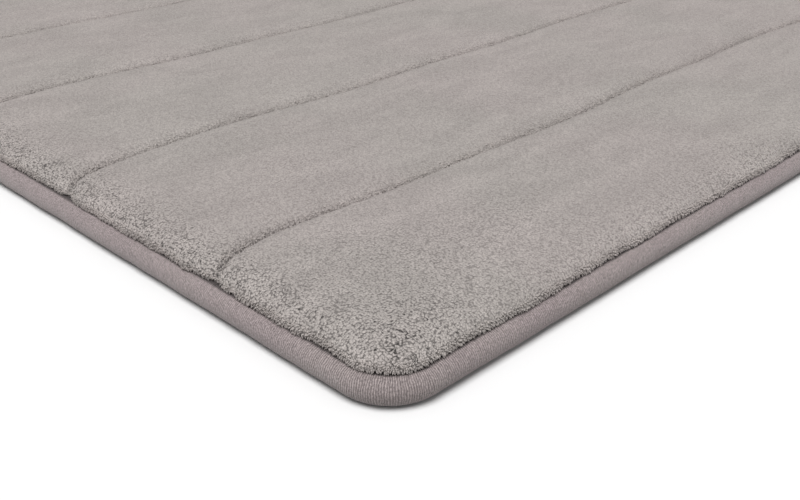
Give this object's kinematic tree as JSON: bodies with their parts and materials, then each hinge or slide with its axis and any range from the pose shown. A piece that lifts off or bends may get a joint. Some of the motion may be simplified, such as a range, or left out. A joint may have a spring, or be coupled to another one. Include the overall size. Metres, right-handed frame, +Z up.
{
  "type": "bath mat",
  "caption": "Rectangular quilted memory-foam bath mat with a short plush pile, padded strips, a round knitted edge binding and a dotted non-slip backing.",
  "frame": {"origin": "centre of the underside, on the floor that the mat lies on", "axes": "+X along the mat's long side and its stitched channels, +Y across the channels, +Z up"},
  "size_m": [0.8, 0.5, 0.015],
  "materials": {
    "plush_pile": "short dense microfibre pile in taupe grey, soft sheen",
    "foam": "open-cell memory foam, matt pale yellow",
    "backing": "close knitted backing cloth with a thin rubbery coat, matt dark taupe",
    "grip_rubber": "soft printed rubber dots, slight gloss",
    "binding_tape": "ribbed knitted tape, brushed, in a slightly darker and warmer taupe than the pile",
    "thread": "spun polyester sewing thread, taupe"
  },
  "bodies": {
    "root": {"plush_cover": "plush_pile", "foam_core": "foam", "backing_cloth": "backing", "grip_dots": "grip_rubber", "edge_binding": "binding_tape", "binding_top_thread": "thread", "binding_under_thread": "thread", "quilt_top_thread_1": "thread", "quilt_top_thread_2": "thread", "quilt_top_thread_3": "thread", "quilt_top_thread_4": "thread", "quilt_top_thread_5": "thread", "quilt_under_thread_1": "thread", "quilt_under_thread_2": "thread", "quilt_under_thread_3": "thread", "quilt_under_thread_4": "thread", "quilt_under_thread_5": "thread"}
  },
  "joints": []
}
